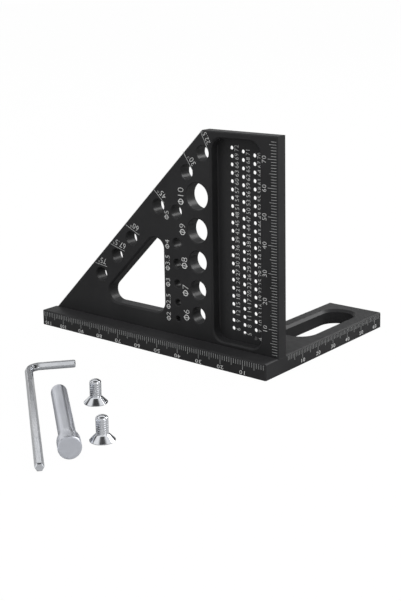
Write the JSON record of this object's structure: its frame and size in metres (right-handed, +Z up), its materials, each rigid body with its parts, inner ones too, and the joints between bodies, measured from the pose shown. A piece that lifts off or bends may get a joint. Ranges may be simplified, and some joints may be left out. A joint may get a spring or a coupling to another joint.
{
  "type": "adjustable set square",
  "caption": "Upright 45 degree set square on an L-shaped ruler base, with pin holes for set angles, drill gauge holes, scribing rows, and its pin, key and screws.",
  "frame": {"origin": "on the base's underside, at the right end face (X = 0) and the plate's back face (Y = 0)", "axes": "+X to the right along the fence, +Y to the back along the arm, +Z up"},
  "size_m": [0.112, 0.1751, 0.084],
  "materials": {
    "anodised": "satin black anodised",
    "bright_steel": "bright zinc-plated steel",
    "satin_steel": "satin turned steel"
  },
  "bodies": {
    "base": {"fence_base": "anodised"},
    "upright": {"upright_plate": "anodised"},
    "screw_1": {"countersunk_screw_1": "bright_steel"},
    "screw_2": {"countersunk_screw_2": "bright_steel"},
    "pin": {"locating_pin": "satin_steel"},
    "key": {"hex_key": "bright_steel"}
  },
  "joints": [
    {"name": "upright_lift", "type": "slide", "parent": "base", "child": "upright", "axis": [0, 0, 1], "range_m": [0, 0.03]},
    {"name": "screw_1_lift", "type": "slide", "parent": "base", "child": "screw_1", "axis": [0, 0, 1], "range_m": [0, 0.05]},
    {"name": "screw_2_lift", "type": "slide", "parent": "base", "child": "screw_2", "axis": [0, 0, 1], "range_m": [0, 0.05]},
    {"name": "pin_lift", "type": "slide", "parent": "base", "child": "pin", "axis": [0, 0, 1], "range_m": [0, 0.05]},
    {"name": "key_lift", "type": "slide", "parent": "base", "child": "key", "axis": [0, 0, 1], "range_m": [0, 0.05]}
  ]
}
